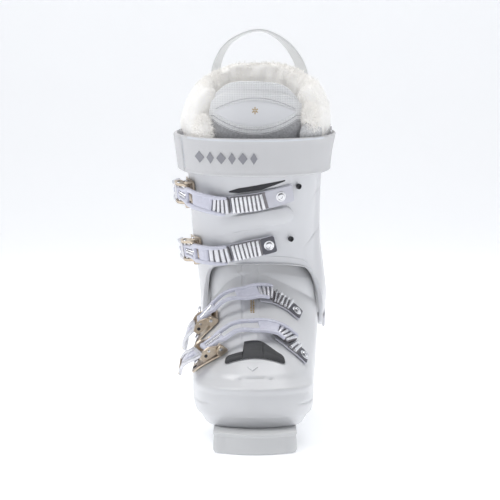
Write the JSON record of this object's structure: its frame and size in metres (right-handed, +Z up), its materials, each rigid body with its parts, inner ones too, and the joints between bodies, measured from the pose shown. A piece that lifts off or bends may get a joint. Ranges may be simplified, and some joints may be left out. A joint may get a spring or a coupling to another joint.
{
  "type": "alpine ski boot",
  "caption": "Right alpine ski boot: overlap shell and leaning cuff with ratchet buckles, wide top strap, padded liner with a fur collar and a pull loop.",
  "frame": {"origin": "on the ground under the middle of the boot, half way between toe and heel lugs and between the widest points left and right", "axes": "+Z up, the toe points to -Y, the heel to +Y, the wearer's outer side with the buckle levers is -X"},
  "size_m": [0.1503, 0.295, 0.366],
  "materials": {
    "shell_white": "white polyurethane, satin gloss",
    "sole_white": "harder white sole plastic, matt",
    "rubber_grey": "dark soft rubber, matt",
    "board_dark": "dark moulded foam rubber",
    "footbed_felt": "felt",
    "liner_grey": "light grey mesh cloth over foam",
    "fur_cream": "cream synthetic fur pile",
    "strap_grey": "coated hook-and-loop strap, pale grey",
    "loop_webbing": "woven webbing",
    "chrome": "polished",
    "lever_chrome": "polished aluminium lever",
    "champagne_metal": "champagne anodised",
    "bail_white": "cool white moulded plastic"
  },
  "bodies": {
    "shell": {"lower_shell": "shell_white", "toe_sole_pad": "sole_white", "toe_sole_screw_outer": "chrome", "toe_sole_screw_inner": "chrome", "heel_sole_pad": "sole_white", "heel_sole_screw_outer": "chrome", "heel_sole_screw_inner": "chrome", "throat_gaiter": "rubber_grey", "boot_board": "board_dark", "liner_foot": "liner_grey", "footbed": "footbed_felt", "tongue_lower": "liner_grey", "pivot_rivet_outer": "chrome", "pivot_rivet_inner": "chrome", "buckle_toe_base": "champagne_metal", "buckle_toe_base_rivet": "chrome", "buckle_toe_hinge_pin": "chrome", "buckle_toe_ladder": "chrome", "buckle_toe_ladder_screw": "chrome", "buckle_instep_base": "champagne_metal", "buckle_instep_base_rivet": "chrome", "buckle_instep_hinge_pin": "chrome", "buckle_instep_ladder": "chrome", "buckle_instep_ladder_screw": "chrome"},
    "cuff": {"cuff": "shell_white", "liner_cuff": "liner_grey", "tongue_upper": "liner_grey", "fur_collar": "fur_cream", "pull_loop": "loop_webbing", "power_strap": "strap_grey", "strap_keeper": "chrome", "strap_rivet": "chrome", "spine_bolt_lower": "chrome", "spine_bolt_upper": "chrome", "buckle_ankle_base": "champagne_metal", "buckle_ankle_base_rivet": "chrome", "buckle_ankle_hinge_pin": "chrome", "buckle_ankle_ladder": "chrome", "buckle_ankle_ladder_screw": "chrome", "buckle_shin_base": "champagne_metal", "buckle_shin_base_rivet": "chrome", "buckle_shin_hinge_pin": "chrome", "buckle_shin_ladder": "chrome", "buckle_shin_ladder_screw": "chrome"},
    "lever_toe": {"buckle_toe_lever": "lever_chrome", "buckle_toe_bail_pin": "chrome"},
    "bail_toe": {"buckle_toe_bail": "bail_white", "buckle_toe_hook": "chrome"},
    "lever_instep": {"buckle_instep_lever": "lever_chrome", "buckle_instep_bail_pin": "chrome"},
    "bail_instep": {"buckle_instep_bail": "bail_white", "buckle_instep_hook": "chrome"},
    "lever_ankle": {"buckle_ankle_lever": "lever_chrome", "buckle_ankle_bail_pin": "chrome"},
    "bail_ankle": {"buckle_ankle_bail": "bail_white", "buckle_ankle_hook": "chrome"},
    "lever_shin": {"buckle_shin_lever": "lever_chrome", "buckle_shin_bail_pin": "chrome"},
    "bail_shin": {"buckle_shin_bail": "bail_white", "buckle_shin_hook": "chrome"}
  },
  "joints": [
    {"name": "cuff_flex", "type": "hinge", "parent": "shell", "child": "cuff", "pos_m": [0, 0.06, 0.092], "axis": [1, 0, 0], "range_deg": [0, 6], "stiffness_Nm_per_rad": 120},
    {"name": "toe_lever_swing", "type": "hinge", "parent": "shell", "child": "lever_toe", "pos_m": [-0.03416, -0.08233, 0.08347], "axis": [-0.3574, 0.8856, 0.2966], "range_deg": [0, 115]},
    {"name": "toe_bail_swing", "type": "hinge", "parent": "lever_toe", "child": "bail_toe", "pos_m": [-0.04355, -0.08555, 0.08177], "axis": [-0.3574, 0.8856, 0.2966], "range_deg": [-115, 0]},
    {"name": "instep_lever_swing", "type": "hinge", "parent": "shell", "child": "lever_instep", "pos_m": [-0.04022, -0.03336, 0.10328], "axis": [-0.1019, 0.9452, 0.3103], "range_deg": [0, 115]},
    {"name": "instep_bail_swing", "type": "hinge", "parent": "lever_instep", "child": "bail_instep", "pos_m": [-0.04945, -0.03304, 0.09928], "axis": [-0.1019, 0.9452, 0.3103], "range_deg": [-115, 0]},
    {"name": "ankle_lever_swing", "type": "hinge", "parent": "cuff", "child": "lever_ankle", "pos_m": [-0.05505, 0.00311, 0.15866], "axis": [-0.1415, -0.1723, 0.9748], "range_deg": [0, 95]},
    {"name": "ankle_bail_swing", "type": "hinge", "parent": "lever_ankle", "child": "bail_ankle", "pos_m": [-0.06307, 0.00919, 0.15857], "axis": [-0.1415, -0.1723, 0.9748], "range_deg": [-95, 0]},
    {"name": "shin_lever_swing", "type": "hinge", "parent": "cuff", "child": "lever_shin", "pos_m": [-0.06136, -0.0038, 0.21082], "axis": [-0.0608, -0.2366, 0.9697], "range_deg": [0, 115]},
    {"name": "shin_bail_swing", "type": "hinge", "parent": "lever_shin", "child": "bail_shin", "pos_m": [-0.069, 0.00266, 0.21192], "axis": [-0.0608, -0.2366, 0.9697], "range_deg": [-115, 0]}
  ],
  "couplings": [
    {"joint": "toe_bail_swing", "follows": "toe_lever_swing", "ratio": -1},
    {"joint": "instep_bail_swing", "follows": "instep_lever_swing", "ratio": -1},
    {"joint": "ankle_bail_swing", "follows": "ankle_lever_swing", "ratio": -1},
    {"joint": "shin_bail_swing", "follows": "shin_lever_swing", "ratio": -1}
  ]
}
